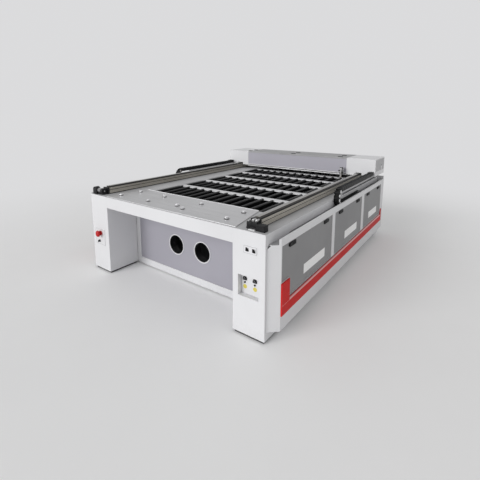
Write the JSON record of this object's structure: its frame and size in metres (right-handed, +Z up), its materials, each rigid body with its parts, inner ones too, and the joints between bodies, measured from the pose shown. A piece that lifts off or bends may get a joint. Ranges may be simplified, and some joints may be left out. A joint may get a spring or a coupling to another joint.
{
  "type": "fiber laser cutting machine",
  "caption": "Flat-bed fibre laser cutting machine with a slatted bed, a travelling gantry and head, side cable chains, drop-down service doors and front controls.",
  "frame": {"origin": "middle of the whole machine's outline, on the floor", "axes": "+X to the right and +Y to the rear as seen from the operator's end, +Z up; the gantry is at its rear end"},
  "size_m": [2.16, 2.848, 1.011],
  "materials": {
    "white_paint": "satin white paint",
    "light_gray_paint": "satin light grey paint",
    "door_gray_paint": "fine textured grey paint",
    "red_paint": "satin red",
    "black_plastic": "black",
    "bright_steel": "brushed",
    "aluminium": "drawn",
    "slat_black": "black scale"
  },
  "bodies": {
    "base": {"front_beam": "white_paint", "left_leg": "white_paint", "right_leg": "white_paint", "duct_frame": "white_paint", "left_duct_collar": "white_paint", "right_duct_collar": "white_paint", "left_deck": "white_paint", "right_deck": "white_paint", "rear_frame": "white_paint", "left_side_shell": "white_paint", "right_side_shell": "white_paint", "left_chain_shelf": "white_paint", "right_chain_shelf": "white_paint", "socket_panel": "white_paint", "duct_panel": "light_gray_paint", "laser_source": "light_gray_paint", "front_deck_plate": "bright_steel", "left_guide_rail": "bright_steel", "right_guide_rail": "bright_steel", "drive_modules": "bright_steel", "left_rail_beam": "aluminium", "right_rail_beam": "aluminium", "left_trim": "red_paint", "right_trim": "red_paint", "slag_hopper": "black_plastic", "left_rail_stop": "black_plastic", "right_rail_stop": "black_plastic", "left_lower_chain": "black_plastic", "right_lower_chain": "black_plastic", "slat_row_1": "slat_black", "slat_row_2": "slat_black", "slat_row_3": "slat_black", "slat_row_4": "slat_black", "slat_row_5": "slat_black", "slat_row_6": "slat_black"},
    "estop": {"estop_button": "red_paint"},
    "key": {"key_switch": "black_plastic"},
    "gantry": {"gantry_beam": "white_paint", "gantry_cover": "light_gray_paint", "left_end_cap": "white_paint", "right_end_cap": "white_paint", "left_upper_chain": "black_plastic", "right_upper_chain": "black_plastic"},
    "lid": {"gantry_lid": "light_gray_paint"},
    "left_loop": {"left_chain_loop": "black_plastic"},
    "right_loop": {"right_chain_loop": "black_plastic"},
    "carriage": {"head_carriage": "bright_steel"},
    "head": {"laser_head": "bright_steel"},
    "left_door_1_body": {"left_door_1": "door_gray_paint"},
    "left_door_2_body": {"left_door_2": "door_gray_paint"},
    "left_door_3_body": {"left_door_3": "door_gray_paint"},
    "right_door_1_body": {"right_door_1": "door_gray_paint"},
    "right_door_2_body": {"right_door_2": "door_gray_paint"},
    "right_door_3_body": {"right_door_3": "door_gray_paint"},
    "right_door_1_front_latch_body": {"right_door_1_front_latch": "black_plastic"},
    "right_door_1_rear_latch_body": {"right_door_1_rear_latch": "black_plastic"},
    "right_door_2_front_latch_body": {"right_door_2_front_latch": "black_plastic"},
    "right_door_2_rear_latch_body": {"right_door_2_rear_latch": "black_plastic"},
    "right_door_3_front_latch_body": {"right_door_3_front_latch": "black_plastic"},
    "right_door_3_rear_latch_body": {"right_door_3_rear_latch": "black_plastic"}
  },
  "joints": [
    {"name": "estop_press", "type": "slide", "parent": "base", "child": "estop", "axis": [0, 1, 0], "range_m": [0, 0.008], "stiffness_N_per_m": 900, "springref_m": -0.004},
    {"name": "key_turn", "type": "hinge", "parent": "base", "child": "key", "pos_m": [-0.887, -1.376, 0.303], "axis": [0, 1, 0], "range_deg": [0, 90]},
    {"name": "right_door_1_drop", "type": "hinge", "parent": "base", "child": "right_door_1_body", "pos_m": [1.063, -0.8375, 0.294], "axis": [0, 1, 0], "range_deg": [0, 90]},
    {"name": "right_door_1_front_latch_turn", "type": "hinge", "parent": "right_door_1_body", "child": "right_door_1_front_latch_body", "pos_m": [1.066, -1.176, 0.65], "axis": [-1, 0, 0], "range_deg": [0, 90]},
    {"name": "right_door_1_rear_latch_turn", "type": "hinge", "parent": "right_door_1_body", "child": "right_door_1_rear_latch_body", "pos_m": [1.066, -0.499, 0.65], "axis": [1, 0, 0], "range_deg": [0, 90]},
    {"name": "right_door_2_drop", "type": "hinge", "parent": "base", "child": "right_door_2_body", "pos_m": [1.063, 0.074, 0.294], "axis": [0, 1, 0], "range_deg": [0, 90]},
    {"name": "right_door_2_front_latch_turn", "type": "hinge", "parent": "right_door_2_body", "child": "right_door_2_front_latch_body", "pos_m": [1.066, -0.218, 0.65], "axis": [-1, 0, 0], "range_deg": [0, 90]},
    {"name": "right_door_2_rear_latch_turn", "type": "hinge", "parent": "right_door_2_body", "child": "right_door_2_rear_latch_body", "pos_m": [1.066, 0.366, 0.65], "axis": [1, 0, 0], "range_deg": [0, 90]},
    {"name": "right_door_3_drop", "type": "hinge", "parent": "base", "child": "right_door_3_body", "pos_m": [1.063, 0.9265, 0.294], "axis": [0, 1, 0], "range_deg": [0, 90]},
    {"name": "right_door_3_front_latch_turn", "type": "hinge", "parent": "right_door_3_body", "child": "right_door_3_front_latch_body", "pos_m": [1.066, 0.667, 0.65], "axis": [-1, 0, 0], "range_deg": [0, 90]},
    {"name": "right_door_3_rear_latch_turn", "type": "hinge", "parent": "right_door_3_body", "child": "right_door_3_rear_latch_body", "pos_m": [1.066, 1.186, 0.65], "axis": [1, 0, 0], "range_deg": [0, 90]},
    {"name": "left_door_1_drop", "type": "hinge", "parent": "base", "child": "left_door_1_body", "pos_m": [-1.063, -0.8375, 0.294], "axis": [0, -1, 0], "range_deg": [0, 90]},
    {"name": "left_door_2_drop", "type": "hinge", "parent": "base", "child": "left_door_2_body", "pos_m": [-1.063, 0.074, 0.294], "axis": [0, -1, 0], "range_deg": [0, 90]},
    {"name": "left_door_3_drop", "type": "hinge", "parent": "base", "child": "left_door_3_body", "pos_m": [-1.063, 0.9265, 0.294], "axis": [0, -1, 0], "range_deg": [0, 90]},
    {"name": "gantry_slide", "type": "slide", "parent": "base", "child": "gantry", "axis": [0, -1, 0], "range_m": [0, 1.86], "deforming": ["left_upper_chain", "right_upper_chain"]},
    {"name": "left_loop_slide", "type": "slide", "parent": "base", "child": "left_loop", "axis": [0, -1, 0], "range_m": [0, 0.93], "deforming": ["left_lower_chain"]},
    {"name": "right_loop_slide", "type": "slide", "parent": "base", "child": "right_loop", "axis": [0, -1, 0], "range_m": [0, 0.93], "deforming": ["right_lower_chain"]},
    {"name": "lid_hinge", "type": "hinge", "parent": "gantry", "child": "lid", "pos_m": [0, 1.3777, 1.011], "axis": [-1, 0, 0], "range_deg": [0, 100]},
    {"name": "head_cross_slide", "type": "slide", "parent": "gantry", "child": "carriage", "axis": [1, 0, 0], "range_m": [-1.28, 0]},
    {"name": "head_lift", "type": "slide", "parent": "carriage", "child": "head", "axis": [0, 0, 1], "range_m": [-0.006, 0.03]}
  ],
  "couplings": [
    {"joint": "left_loop_slide", "follows": "gantry_slide", "ratio": 0.5},
    {"joint": "right_loop_slide", "follows": "gantry_slide", "ratio": 0.5}
  ]
}
